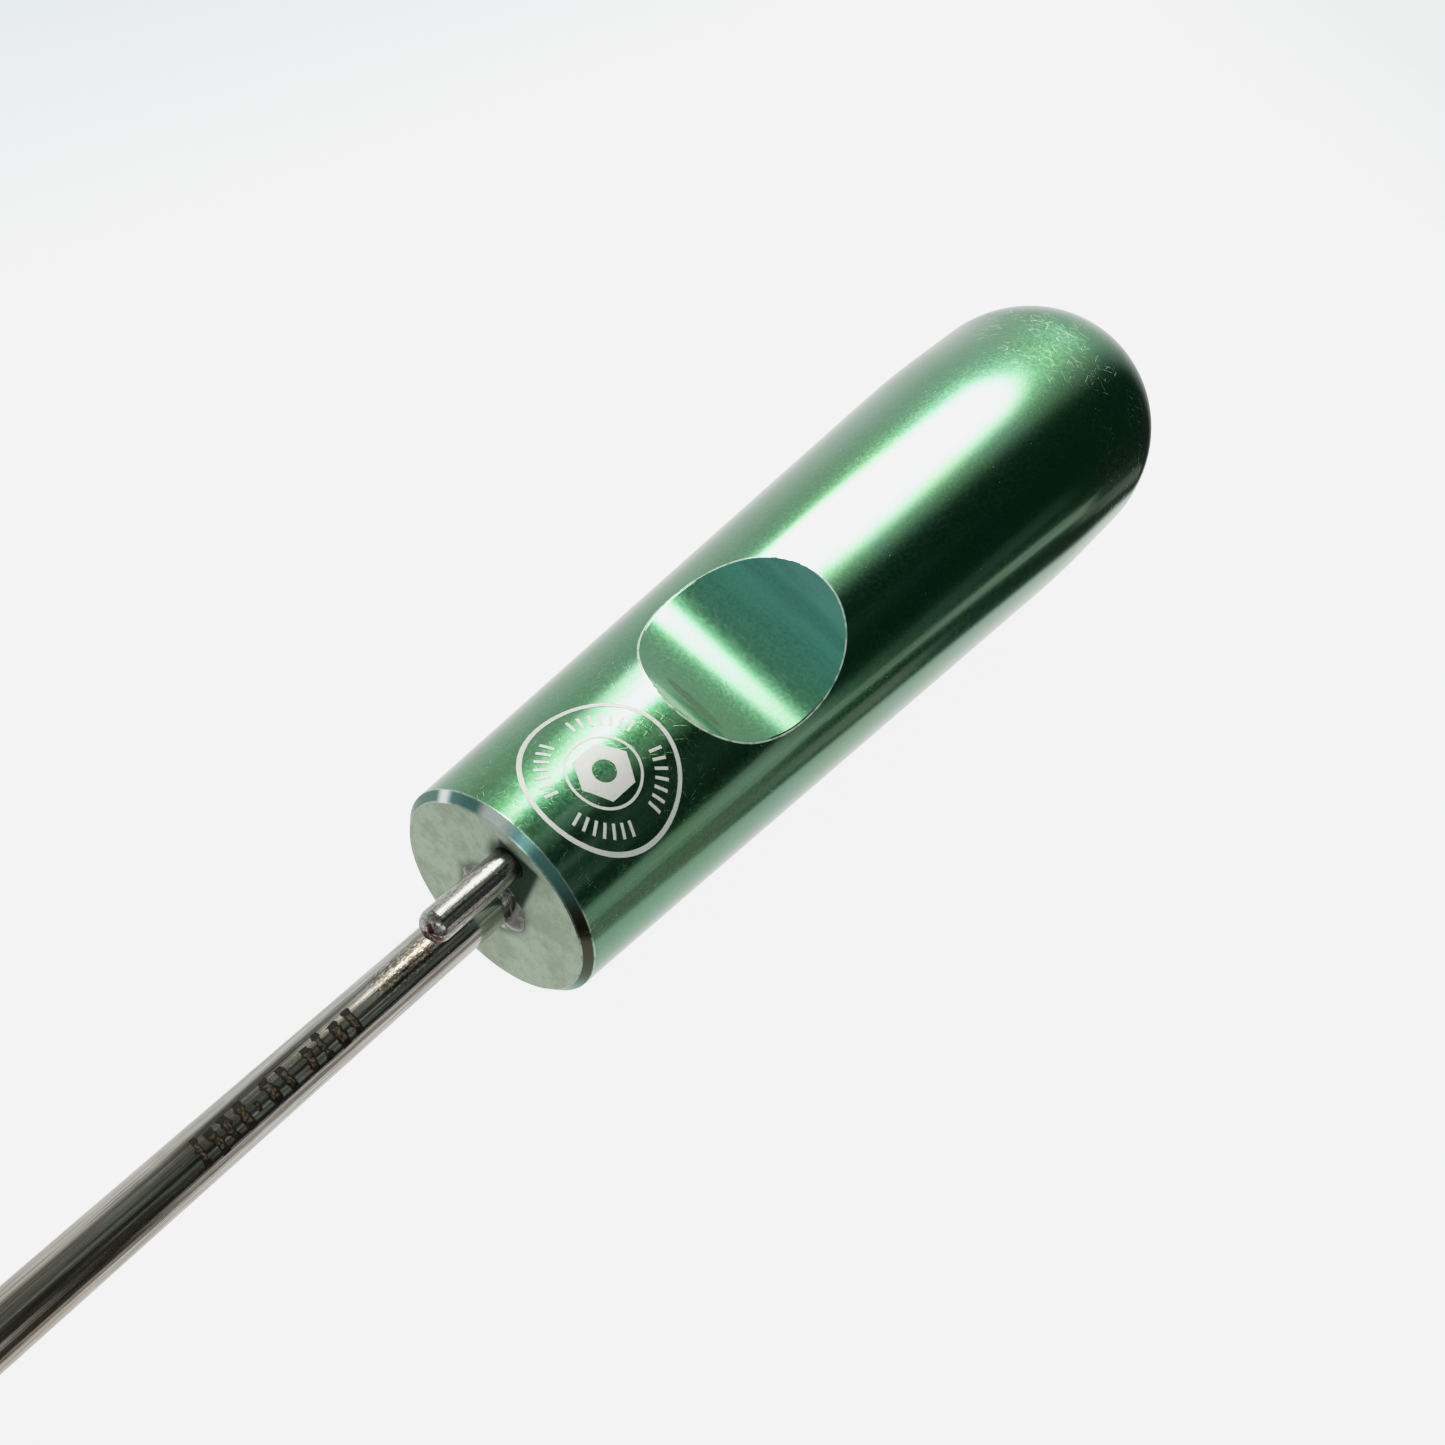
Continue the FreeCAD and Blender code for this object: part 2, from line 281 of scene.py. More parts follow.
def handle_wear(graph, where, x, z, turn, scallop):
    """Hairline scratches on the handle's round end and near the badge, and all pale marks together."""
    around = graph.product(turn, 14.0)
    bare = graph.math("SUBTRACT", 1.0, scallop)
    hair = scratches(graph, x, around, (12, 58, 96, 141), 0.10, 2.2, 0.105)
    dome_region = graph.step(x, -86.0, -100.0)
    label_region = graph.product(graph.step(x, -30.0, -20.0), graph.step(z, 2.0, 8.0))
    worn_region = graph.total(graph.product(dome_region, 1.1), graph.product(label_region, 0.35), 0.08)
    patch = graph.step(graph.noise(where, 0.22, 2.0), 0.40, 0.58)
    hair = graph.product(hair, worn_region, patch, bare)
    speck_region = graph.step(graph.noise(where, 0.4, 0.0), 0.52, 0.58)
    specks = graph.product(graph.dots(where, 0.85, 0.08, 0.03), speck_region, bare)
    marks = graph.math("MINIMUM", graph.total(graph.product(hair, 0.75), graph.product(specks, 0.7)), 1.0)
    return hair, marks


def scallop_colours(graph, colour, x, y, grain, scallop):
    """The handle's colour with the scallop's far half as a painted teal reflection and a lens-shaped painted
    dark reflection, and the far half's mask.
    """
    # Painted reflection: the scallop's far half takes a lighter teal colour, with less metal in the shader.
    painted_reflection_half = graph.product(scallop, graph.step(x, SCALLOP_X - 0.5, SCALLOP_X - 5.5))
    cutter = graph.noise(graph.vector(graph.product(x, 0.55), graph.product(y, 0.05), 0.0), 1.0, 2.0, 0.6)
    teal = graph.mix(graph.step(x, -34.5, -42.5), (0.030, 0.185, 0.118), (0.070, 0.330, 0.275))
    teal = graph.mix(graph.step(cutter, 0.40, 0.62, 0.0, 0.45), teal, (0.020, 0.150, 0.115))
    teal = graph.mix(graph.step(grain, 0.30, 0.75, 0.0, 0.35), teal, (0.130, 0.330, 0.260))
    colour = graph.mix(painted_reflection_half, colour, teal)
    # Painted dark reflection: a lens-shaped dark patch in the scallop's near half.
    lengthwise = graph.product(graph.math("SUBTRACT", x, LENS_REFLECTION_CENTRE[0]), 1 / LENS_REFLECTION_HALF[0])
    across = graph.product(graph.math("SUBTRACT", y, LENS_REFLECTION_CENTRE[1]), 1 / LENS_REFLECTION_HALF[1])
    reach = graph.total(graph.product(lengthwise, lengthwise), graph.product(across, across))
    stain_and_painted_reflection = graph.product(scallop, graph.step(reach, 1.15, 0.60), graph.step(grain, 0.30, 0.60, 0.95, 0.55))
    return graph.mix(stain_and_painted_reflection, colour, (0.016, 0.105, 0.022)), painted_reflection_half


def worn_edges_and_painted_highlight(graph, where, x, z, normal_x, scallop_rim):
    """Bare bright metal along the chamfer's two edges and the scallop's edge, worn and also a painted
    highlight.
    """
    outer_edge = graph.band(x, -0.97, -0.80, 0.08, 0.08)
    inner_edge = graph.product(graph.band(x, -0.12, 0.02, 0.08, 0.02), graph.step(normal_x, 0.98, 0.90))
    inner_edge = graph.product(inner_edge, graph.step(z, -13.0, 0.0, 0.2, 1.0))
    edges = graph.math("MAXIMUM", outer_edge, inner_edge)
    edges = graph.product(edges, graph.step(graph.noise(where, 1.3, 3.0), 0.25, 0.55), 0.5)
    chips = graph.step(graph.noise(where, 1.1, 3.0), 0.35, 0.55, 0.25, 0.95)
    return graph.math("MAXIMUM", edges, graph.product(scallop_rim, chips))


def anodised_material():
    """Green anodised aluminium: a dyed clear layer over bright metal, a matt front face, worn edges, and
    painted shade, highlights and reflections.
    """
    material, graph = new_material("anodised_green")
    where, (x, y, z) = graph.place()
    normal_x = graph.normal()[0]
    turn = graph.math("ARCTAN2", y, z)
    scallop, scallop_rim = scallop_masks(graph, x, z)
    hair, marks = handle_wear(graph, where, x, z, turn, scallop)

    grain = graph.noise(where, 2.6, 5.0, 0.65)
    cloud = graph.noise(where, 0.07, 2.0)
    colour = graph.mix(graph.step(cloud, 0.35, 0.65), (0.056, 0.225, 0.085), (0.062, 0.235, 0.125))
    colour = graph.mix(graph.step(grain, 0.38, 0.66, 0.0, 0.50), colour, (0.110, 0.320, 0.160))
    colour = graph.mix(marks, colour, (0.60, 0.80, 0.56))
    colour, painted_reflection_half = scallop_colours(graph, colour, x, y, grain, scallop)

    face = graph.product(graph.step(normal_x, 0.90, 0.97), graph.step(x, -0.12, -0.04))
    chamfer = graph.product(graph.band(normal_x, 0.35, 0.93, 0.2, 0.04), graph.step(x, -1.0, -0.8))
    # Painted shadow on the face by the pin and shaft, with less coat, metal and specular there.
    face_colour, painted_shadow = face_colours(graph, where, y, z)
    painted_shadow = graph.product(painted_shadow, face)
    colour = graph.mix(face, colour, face_colour)
    # The chamfer takes painted reflections in place of its colour.
    colour = graph.mix(chamfer, colour, chamfer_painted_reflections(graph, turn))
    colour = graph.mix(worn_edges_and_painted_highlight(graph, where, x, z, normal_x, scallop_rim), colour, (0.62, 0.78, 0.68))
    nick = graph.step(graph.distance(where, NICK), 0.32, 0.22)
    colour = graph.mix(nick, colour, (0.01, 0.01, 0.01))

    roughness = graph.step(grain, 0.3, 0.8, 0.17, 0.27)
    roughness = graph.total(roughness, graph.product(marks, 0.25), graph.product(face, 0.24))
    coat = graph.math("SUBTRACT", 1.0, graph.total(graph.product(face, 0.8), graph.product(painted_shadow, 0.2)))
    coat = graph.product(coat, graph.step(chamfer, 0.0, 1.0, 1.0, 0.25))
    coat_roughness = graph.total(0.065, graph.product(face, 0.25), graph.product(marks, 0.2))
    # Less metal where the scallop's far half carries its painted teal reflection, and none on the scallop's
    # edge line, which is worn bare and carries a painted highlight.
    metallic = graph.math("SUBTRACT", 1.0, graph.math("MAXIMUM", graph.product(painted_reflection_half, 0.85), scallop_rim))
    dulled = graph.total(graph.product(face, 0.55), graph.product(painted_shadow, 0.35))
    metallic = graph.math("SUBTRACT", metallic, dulled)
    height = graph.math("SUBTRACT", graph.product(grain, 0.35), hair)
    coat_height = graph.math("SUBTRACT", graph.product(grain, 0.16), hair)
    finish_material(
        graph, Base_Color=colour, Metallic=metallic, Roughness=roughness,
        Specular_Tint=(0.72, 0.84, 0.76, 1.0), Specular_IOR_Level=graph.step(painted_shadow, 0.0, 1.0, 0.5, 0.12),
        Coat_Weight=coat, Coat_IOR=1.60, Coat_Roughness=coat_roughness,
        Normal=graph.bump(height, 0.0085 * MM), Coat_Normal=graph.bump(coat_height, 0.0034 * MM))
    return material


def shaft_stains(graph, colour, where, x, y, z):
    """Heat-stained steel round the shaft's marking, a brown and bright speckled patch by the pin, and a
    browner far end.
    """
    turn = graph.math("ARCTAN2", y, z)
    heat = graph.product(graph.band(x, 16.0, 34.5, 2.0, 2.0), graph.band(turn, -0.45, 0.80, 0.4, 0.3),
                         graph.step(graph.noise(where, 0.9, 4.0, 0.7), 0.34, 0.56))
    colour = graph.mix(graph.product(heat, 0.45), colour, (0.26, 0.23, 0.16))
    speckled_patch = graph.product(graph.band(x, 8.0, 14.5, 2.0, 3.0), graph.band(turn, -0.6, 0.45, 0.4, 0.4))
    spots = graph.noise(graph.vector(graph.product(x, 0.55), y, z), 5.0, 4.0, 0.75)
    colour = graph.mix(graph.product(speckled_patch, graph.step(spots, 0.56, 0.44)), colour, (0.20, 0.135, 0.075))
    colour = graph.mix(graph.product(speckled_patch, graph.step(spots, 0.56, 0.64)), colour, (0.95, 0.92, 0.86))
    return graph.mix(graph.step(x, 26.0, 62.0, 0.0, 0.55), colour, (0.42, 0.33, 0.25))


def pin_stains_and_root_shade(graph, colour, where, x, y, z):
    """Grey speckle on the pin, painted shade darkening it to near black at its root, and brown residue on its
    round end.
    """
    speckle = graph.noise(graph.vector(graph.product(x, 0.6), y, z), 5.0, 4.0, 0.75)
    colour = graph.mix(graph.step(speckle, 0.46, 0.60, 0.0, 0.8), colour, (0.20, 0.195, 0.18))
    # Painted shade: the pin darkens to near black at its root.
    colour = graph.mix(graph.step(x, 1.9, 0.4, 0.0, 0.70), colour, (0.045, 0.045, 0.040))
    round_end = PIN_LENGTH / MM - 1.0
    residue = graph.product(graph.step(x, round_end, round_end + 0.5),
                            graph.step(graph.noise(where, 1.1, 3.0), 0.44, 0.52))
    return graph.mix(residue, colour, (0.085, 0.030, 0.018))


def steel_material(name, stains_and_shade, dulled=0.0):
    """Drawn and polished stainless bar: lengthwise lines, small pits near the handle, and its own stained
    marks, with painted shade at the pin's root.
    """
    material, graph = new_material(name)
    where, (x, y, z) = graph.place()
    streaks = graph.noise(graph.vector(graph.product(x, 0.035), y, z), 2.6, 5.0, 0.65)
    fine = graph.noise(graph.vector(graph.product(x, 0.012), y, z), 9.0, 3.0, 0.6)
    cloud = graph.noise(where, 0.35, 3.0)
    colour = graph.mix(streaks, (0.68, 0.67, 0.63), (0.44, 0.43, 0.40))
    colour = graph.mix(graph.step(fine, 0.47, 0.64, 0.0, 0.8), colour, (0.14, 0.14, 0.125))
    colour = graph.mix(graph.step(cloud, 0.50, 0.72, 0.0, 0.5), colour, (0.40, 0.36, 0.29))
    pit_region = graph.step(graph.noise(where, 0.5, 2.0), 0.44, 0.58)
    pit = graph.product(graph.dots(where, 2.6, 0.20, 0.08), pit_region)
    pit = graph.product(pit, graph.step(x, 18.0, 13.0, 0.12, 1.0))
    colour = graph.mix(graph.product(pit, 0.75), colour, (0.90, 0.86, 0.78))
    colour = stains_and_shade(graph, colour, where, x, y, z)
    roughness = graph.total(graph.step(streaks, 0.35, 0.70, 0.07, 0.17), graph.product(pit, 0.25), dulled)
    height = graph.total(streaks, graph.product(fine, 0.7), graph.product(pit, -0.5))
    finish_material(
        graph, Base_Color=colour, Metallic=1.0, Roughness=roughness, Anisotropic=0.3,
        Normal=graph.bump(height, 0.0068 * MM))
    return material


def adhesive_material():
    """Cured clear adhesive, yellowed and cloudy in places."""
    material, graph = new_material("clear_adhesive")
    where = graph.place()[0]
    cloud = graph.noise(where, 1.2, 4.0, 0.6)
    colour = graph.mix(graph.step(cloud, 0.40, 0.68), (0.030, 0.036, 0.024), (0.26, 0.25, 0.20))
    height = graph.noise(where, 1.6, 2.0)
    finish_material(
        graph, Base_Color=colour, Roughness=graph.step(cloud, 0.3, 0.7, 0.05, 0.16), IOR=1.50,
        Transmission_Weight=0.20, Coat_Weight=0.8, Coat_Roughness=0.04, Normal=graph.bump(height, 0.010 * MM))
    return material


def marking_material():
    """Satin white laser marking: the dye is bleached out and the surface is finely frosted."""
    material, graph = new_material("bleached_marking")
    where = graph.place()[0]
    frost = graph.noise(where, 6.0, 3.0, 0.7)
    wear = graph.step(graph.noise(where, 0.6, 4.0, 0.6), 0.55, 0.80)
    colour = graph.mix(frost, (0.60, 0.62, 0.60), (0.80, 0.82, 0.80))
    colour = graph.mix(graph.product(wear, 0.5), colour, (0.36, 0.46, 0.38))
    finish_material(
        graph, Base_Color=colour, Metallic=0.15, Roughness=graph.step(frost, 0.3, 0.7, 0.38, 0.55),
        Normal=graph.bump(frost, 0.004 * MM))
    return material


def etching_material(name, burnt, pale):
    """Rough annealed etching on the steel, between a burnt colour and a paler one."""
    material, graph = new_material(name)
    where = graph.place()[0]
    burn = graph.noise(where, 3.5, 5.0, 0.7)
    colour = graph.mix(graph.step(burn, 0.40, 0.64), burnt, pale)
    finish_material(
        graph, Base_Color=colour, Roughness=graph.step(burn, 0.3, 0.7, 0.40, 0.70), Specular_IOR_Level=0.15,
        Normal=graph.bump(burn, 0.01 * MM))
    return material


def add_piece(name, vertices, faces, material, smooth=True):
    """Makes a mesh piece that rides on the part's one body."""
    mesh = bpy.data.meshes.new(name)
    mesh.from_pydata(vertices, [], faces)
    mesh.validate()
    mesh.polygons.foreach_set("use_smooth", [smooth] * len(mesh.polygons))
    piece = bpy.data.objects.new(name, mesh)
    bpy.context.scene.collection.objects.link(piece)
    piece.data.materials.append(material)
    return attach(piece, "root")


def skin(grid, closed, wrap, low, high):
    """A thin closed shell over a grid of flat points: wrap puts a flat point at a height over the surface."""
    rows = len(grid)
    columns = len(grid[0])
    vertices = [wrap(across, up, height) for height in (high, low) for row in grid for across, up in row]
    layer = rows * columns

    def at(level, row, column):
        return level * layer + row * columns + column % columns

    faces = []
    last = columns if closed else columns - 1
    for row in range(rows - 1):
        for column in range(last):
            quad = [(row, column), (row, column + 1), (row + 1, column + 1), (row + 1, column)]
            faces.append([at(0, *corner) for corner in quad])
            faces.append([at(1, *corner) for corner in reversed(quad)])
    for column in range(last):
        faces.append([at(0, 0, column), at(1, 0, column), at(1, 0, column + 1), at(0, 0, column + 1)])
        end = rows - 1
        faces.append([at(0, end, column + 1), at(1, end, column + 1), at(1, end, column), at(0, end, column)])
    if not closed:
        for row in range(rows - 1):
            faces.append([at(0, row + 1, 0), at(1, row + 1, 0), at(1, row, 0), at(0, row, 0)])
            faces.append([at(0, row, last), at(1, row, last), at(1, row + 1, last), at(0, row + 1, last)])
    return vertices, faces


def join_skins(skins):
    """Puts several shells into one list of vertices and faces."""
    vertices = []
    faces = []
    for more_vertices, more_faces in skins:
        base = len(vertices)
        vertices += more_vertices
        faces += [[base + index for index in face] for face in more_faces]
    return vertices, faces


def ring_grid(inner, outer, rows, columns):
    """Flat points of a full ring. The radii may be numbers or functions of the angle."""
    def radius(rule, angle):
        return rule(angle) if callable(rule) else rule

    grid = []
    for row in range(rows + 1):
        share = row / rows
        line = []
        for column in range(columns):
            angle = 2 * math.pi * column / columns
            reach = radius(inner, angle) * (1 - share) + radius(outer, angle) * share
            line.append((reach * math.cos(angle), reach * math.sin(angle)))
        grid.append(line)
    return grid


def bar_grid(across, up, width, height, turn, rows=6, columns=3, wobble=0.0, seed=0):
    """Flat points of a bar at a place, turned by an angle, with edges that wander by wobble."""
    c = math.cos(turn)
    s = math.sin(turn)
    grid = []
    for row in range(rows + 1):
        along = (row / rows - 0.5) * height
        line = []
        for column in range(columns + 1):
            side = (column / columns - 0.5) * width
            side += wobble * noise.noise(Vector((3.7 * seed + column / columns * 2, 0.0, along / MM * 2.5)))
            line.append((across + side * c - along * s, up + side * s + along * c))
        grid.append(line)
    return grid


def cone_radius(x):
    """Radius of the handle's cone at a place along X."""
    return NOSE_RADIUS + CONE_SLOPE * (-x - NOSE_CHAMFER)


def turned_radius(x):
    """Radius of the whole turned handle at a place along X."""
    if x < BALL_CENTRE:
        return math.sqrt(max(BARREL_RADIUS ** 2 - (x - BALL_CENTRE) ** 2, 0.0))
    return min(cone_radius(x), BARREL_RADIUS)


def turned_normal(point):
    """Outward direction of the turned handle, easing from the cone into the barrel."""
    if point.x < BALL_CENTRE:
        return (point - Vector((BALL_CENTRE, 0, 0))).normalized()
    share = min(max((point.x + CONE_END + BLEND_REACH) / (2 * BLEND_REACH), 0.0), 1.0)
    radius = math.hypot(point.y, point.z)
    return Vector((CONE_SLOPE * share, point.y / radius, point.z / radius)).normalized()


def scallop_normal(point):
    """Outward direction of the thumb scallop's floor."""
    return Vector((SCALLOP_X * MM - point.x, 0, SCALLOP_Z * MM - point.z)).normalized()


def surface_rule(points):
    """Which exact rule gives the normals of a triangle with these corners, or None."""
    near = 0.02 * MM

    def on_turned(point):
        off = abs(math.hypot(point.y, point.z) - turned_radius(point.x))
        allowed = 0.09 * MM if abs(point.x + CONE_END) < BLEND_REACH else near
        return point.x < -NOSE_CHAMFER + near and off < allowed

    def on_scallop(point):
        reach = math.hypot(point.x - SCALLOP_X * MM, point.z - SCALLOP_Z * MM)
        return abs(reach - SCALLOP_RADIUS * MM) < near

    if all(on_scallop(point) for point in points):
        return scallop_normal
    if all(on_turned(point) for point in points):
        return turned_normal
    return None


def add_handle_skin(material):
    """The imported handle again, with exact surface normals, so that long highlights stay smooth."""
    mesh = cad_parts["handle"].data.copy()
    mesh.name = "handle_skin"
    normals = [corner.vector.copy() for corner in mesh.corner_normals]
    for polygon in mesh.polygons:
        points = [mesh.vertices[index].co for index in polygon.vertices]
        rule = surface_rule(points)
        if rule:
            for loop, point in zip(polygon.loop_indices, points):
                normals[loop] = rule(point)
    mesh.normals_split_custom_set(normals)
    mesh.materials.clear()
    mesh.materials.append(material)
    piece = bpy.data.objects.new("handle_skin", mesh)
    bpy.context.scene.collection.objects.link(piece)
    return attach(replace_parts(piece, "handle"), "root")


def on_cone(centre_x, centre_angle):
    """Drops flat points straight down onto the cone, round a centre at an angle from its top line."""
    def wrap(across, up, height):
        x = centre_x + across
        radius = cone_radius(x)
        angle = centre_angle + math.asin(up / radius)
        lifted = radius + height
        return x, lifted * math.sin(angle), lifted * math.cos(angle)
    return wrap


def on_shaft(centre_x, centre_angle):
    """Wraps flat points onto the shaft, round a centre at an angle from its top line."""
    def wrap(across, up, height):
        angle = centre_angle + up / SHAFT_RADIUS
        lifted = SHAFT_RADIUS + height
        return centre_x + across, lifted * math.sin(angle), lifted * math.cos(angle)
    return wrap


def add_emblem(material):
    """A plain round badge: two rings, four runs of ticks between them, and a hexagon with a round hole."""
    outer = 7.35 * MM
    outer_line = 0.44 * MM
    inner = 3.55 * MM
    inner_line = 0.27 * MM
    tick_reach = 5.50 * MM
    hexagon = 2.95 * MM
    hole = 1.15 * MM
    top = 0.02 * MM
    bottom = -0.04 * MM
    runs = 4
    ticks = 7
    tick_step = math.radians(9.5)
    wrap = on_cone(-10.6 * MM, math.radians(2))
    sector = math.pi / 3

    def hexagon_edge(angle):
        return hexagon * math.cos(sector / 2) / math.cos((angle % sector) - sector / 2)

    grids = [
        ring_grid(outer - outer_line / 2, outer + outer_line / 2, 2, 192),
        ring_grid(inner - inner_line / 2, inner + inner_line / 2, 2, 120),
        ring_grid(hole, hexagon_edge, 6, 96),
    ]
    skins = [skin(grid, True, wrap, bottom, top) for grid in grids]
    for run in range(runs):
        middle = 2 * math.pi * (run + 0.5) / runs
        for tick in range(ticks):
            angle = middle + tick_step * (tick - (ticks - 1) / 2)
            place = (tick_reach * math.cos(angle), tick_reach * math.sin(angle))
            bar = bar_grid(*place, 0.30 * MM, 1.35 * MM, angle - math.pi / 2)
            skins.append(skin(bar, False, wrap, bottom, top))
    return add_piece("badge_marking", *join_skins(skins), material, smooth=False)


def add_graduations(name, material, share, lift):
    """Rough etched bars along the shaft, in plain groups without lettering. Share narrows and shortens them.

    Each bar has the place of its middle along the shaft, its width and its height, in plain millimetres.
    """
    bars = [(17.7, 0.75, 2.5), (19.2, 0.95, 2.4), (20.9, 0.70, 2.7), (22.3, 0.85, 2.3),
            (24.6, 0.70, 2.5), (26.2, 0.85, 2.4), (27.7, 0.35, 0.9),
            (28.9, 0.85, 2.6), (30.3, 0.70, 2.4), (31.6, 0.80, 2.5), (33.0, 0.55, 2.7)]
    skins = []
    for index, (middle, width, height) in enumerate(bars):
        wrap = on_shaft(middle * MM, math.radians(12 + 3 * math.sin(2.3 * index)))
        lean = 0.10 * math.sin(1.7 * index)
        bar = bar_grid(0, 0, width * share * MM, height * share * MM, lean, rows=18, columns=4,
                       wobble=0.30 * share * MM, seed=index)
        skins.append(skin(bar, False, wrap, -0.03 * MM, lift))
    return add_piece(name, *join_skins(skins), material, smooth=False)


def add_bond_bead(material):
    """The adhesive that stands proud round the shaft's root, uneven, with two larger runs at its sides."""
    columns = 96
    rows = 10
    root = -0.06 * MM
    inner = SHAFT_RADIUS * 0.99
    vertices = []
    for row in range(rows + 1):
        share = row / rows
        for column in range(columns):
            angle = 2 * math.pi * column / columns
            wave = noise.noise(Vector((math.cos(angle) * 1.7, math.sin(angle) * 1.7, 4.0)))
            side = math.exp(-((math.degrees(angle) - 96) / 30) ** 2)
            far_side = math.exp(-((math.degrees(angle) - 279) / 16) ** 2)
            reach = BOND_RADIUS + (0.02 + 0.18 * wave + 0.38 * side + 0.30 * far_side) * MM
            height = (0.14 + 0.08 * wave + 0.62 * side + 0.42 * far_side) * MM
            radius = inner + (reach - inner) * share
            x = root + (height - root) * math.cos(share * math.pi / 2) ** 0.7
            vertices.append((x, radius * math.sin(angle), radius * math.cos(angle)))
    for column in range(columns):
        angle = 2 * math.pi * column / columns
        vertices.append((root, inner * math.sin(angle), inner * math.cos(angle)))
    faces = []
    for row in range(rows + 1):
        for column in range(columns):
            beside = (column + 1) % columns
            above = row + 1
            faces.append([row * columns + column, row * columns + beside,
                          above * columns + beside, above * columns + column])
    for column in range(columns):
        beside = (column + 1) % columns
        base = (rows + 1) * columns
        faces.append([base + column, base + beside, beside, column])
    return add_piece("bond_bead", vertices, faces, material)


def make_world():
    """The room as the polished metal sees it: a white table, a window, a bright side and a dark side."""
    world = bpy.data.worlds.new("studio")
    bpy.context.scene.world = world
    world.use_nodes = True
    graph = Graph(world.node_tree)
    direction = graph.add("ShaderNodeTexCoord").outputs["Generated"]
    x, y, z = graph.parts(direction)
    elevation = graph.math("DEGREES", graph.math("ARCSINE", z))
    azimuth = graph.math("DEGREES", graph.math("ARCTAN2", y, x))
    azimuth = graph.math("MODULO", graph.math("ADD", azimuth, 360.0), 360.0)

    light = room_walls(graph, azimuth, elevation, y)
    light = graph.plus(light, window_light(graph, azimuth, elevation))
    light = graph.plus(light, dark_side_clutter(graph, azimuth, elevation))
    light = graph.plus(light, far_lamps(graph, azimuth, elevation))

    table_edge = graph.step(azimuth, 112.0, 160.0, -20.0, -30.5, smooth=False)
    below = graph.math("SUBTRACT", elevation, table_edge)
    light = graph.mix(graph.step(below, 2.0, -2.0), light, (1.08, 1.08, 1.06))

    seen = graph.add("ShaderNodeLightPath").outputs["Is Camera Ray"]
    colour = graph.mix(seen, graph.tint(light, ROOM), PAPER)
    background = graph.add("ShaderNodeBackground", {"Color": colour, "Strength": 1.0})
    graph.add("ShaderNodeOutputWorld", {"Surface": background.outputs["Background"]})


def room_walls(graph, azimuth, elevation, y):
    """A bright wall on the -Y side, a dark one on the +Y side, a dim corner and a dim ceiling."""
    bright_wall = graph.mix(graph.step(elevation, 4.0, -10.0), (0.90, 0.95, 0.90), (1.03, 1.03, 1.03))
    dark_wall = graph.mix(graph.step(azimuth, 112.0, 100.0), (0.020, 0.030, 0.024), (0.026, 0.027, 0.016))
    light = graph.mix(graph.step(y, 0.28, -0.22), dark_wall, bright_wall)
    lower = graph.math("SUBTRACT", elevation, graph.step(azimuth, 254.0, 261.0, 0.0, 19.0))
    corner = graph.product(graph.step(azimuth, 244.0, 252.0), graph.step(lower, -3.0, 22.0))
    corner_colour = graph.mix(graph.step(elevation, 30.0, 60.0), (0.16, 0.165, 0.15), (0.22, 0.22, 0.20))
    light = graph.mix(corner, light, corner_colour)
    over_window = graph.product(graph.step(azimuth, 229.0, 239.0), graph.step(elevation, 43.0, 52.0))
    light = graph.mix(over_window, light, (0.24, 0.24, 0.22))
    behind = graph.product(graph.band(azimuth, 290.0, 352.0, 40.0, 16.0), graph.step(elevation, -20.0, 0.0))
    light = graph.mix(behind, light, (0.42, 0.44, 0.43))
    front = graph.product(graph.step(azimuth, 96.0, 80.0), graph.step(elevation, -16.0, 12.0))
    light = graph.mix(front, light, (0.26, 0.30, 0.29))
    low_ceiling = graph.product(graph.step(elevation, 55.0, 62.0),
                                graph.band(azimuth, 190.0, 335.0, 12.0, 20.0))
    light = graph.mix(low_ceiling, light, (0.16, 0.20, 0.17))
    ceiling = graph.product(graph.step(elevation, 66.0, 74.0), graph.band(azimuth, 150.0, 345.0, 20.0, 20.0))
    light = graph.mix(ceiling, light, (0.10, 0.11, 0.09))
    depth = graph.product(graph.band(azimuth, 126.0, 168.0, 10.0, 12.0),
                          graph.band(elevation, 4.0, 54.0, 8.0, 8.0))
    light = graph.mix(depth, light, (0.012, 0.036, 0.026))
    glimmer = graph.product(graph.band(azimuth, 118.0, 142.0, 10.0, 10.0),
                            graph.band(elevation, 34.0, 56.0, 8.0, 8.0))
    return graph.mix(glimmer, light, (0.055, 0.065, 0.065))


def window_light(graph, azimuth, elevation):
    """A warm window whose sill drops away towards the shaft's side, with a soft glow round it."""
    sill = graph.step(azimuth, 182.0, 227.0, 44.5, 20.5, smooth=False)
    over_sill = graph.math("SUBTRACT", elevation, sill)
    pane = graph.product(graph.step(over_sill, -3.5, 5.0), graph.step(elevation, 56.0, 48.0),
                         graph.band(azimuth, 191.0, 235.0, 26.0, 16.0))
    glow = graph.product(graph.step(over_sill, -10.0, 4.0), graph.step(elevation, 62.0, 49.0),
                         graph.band(azimuth, 172.0, 238.0, 30.0, 8.0))
    return graph.tint((1.0, 0.94, 0.86), graph.total(graph.product(pane, 13.0), graph.product(glow, 0.60)))


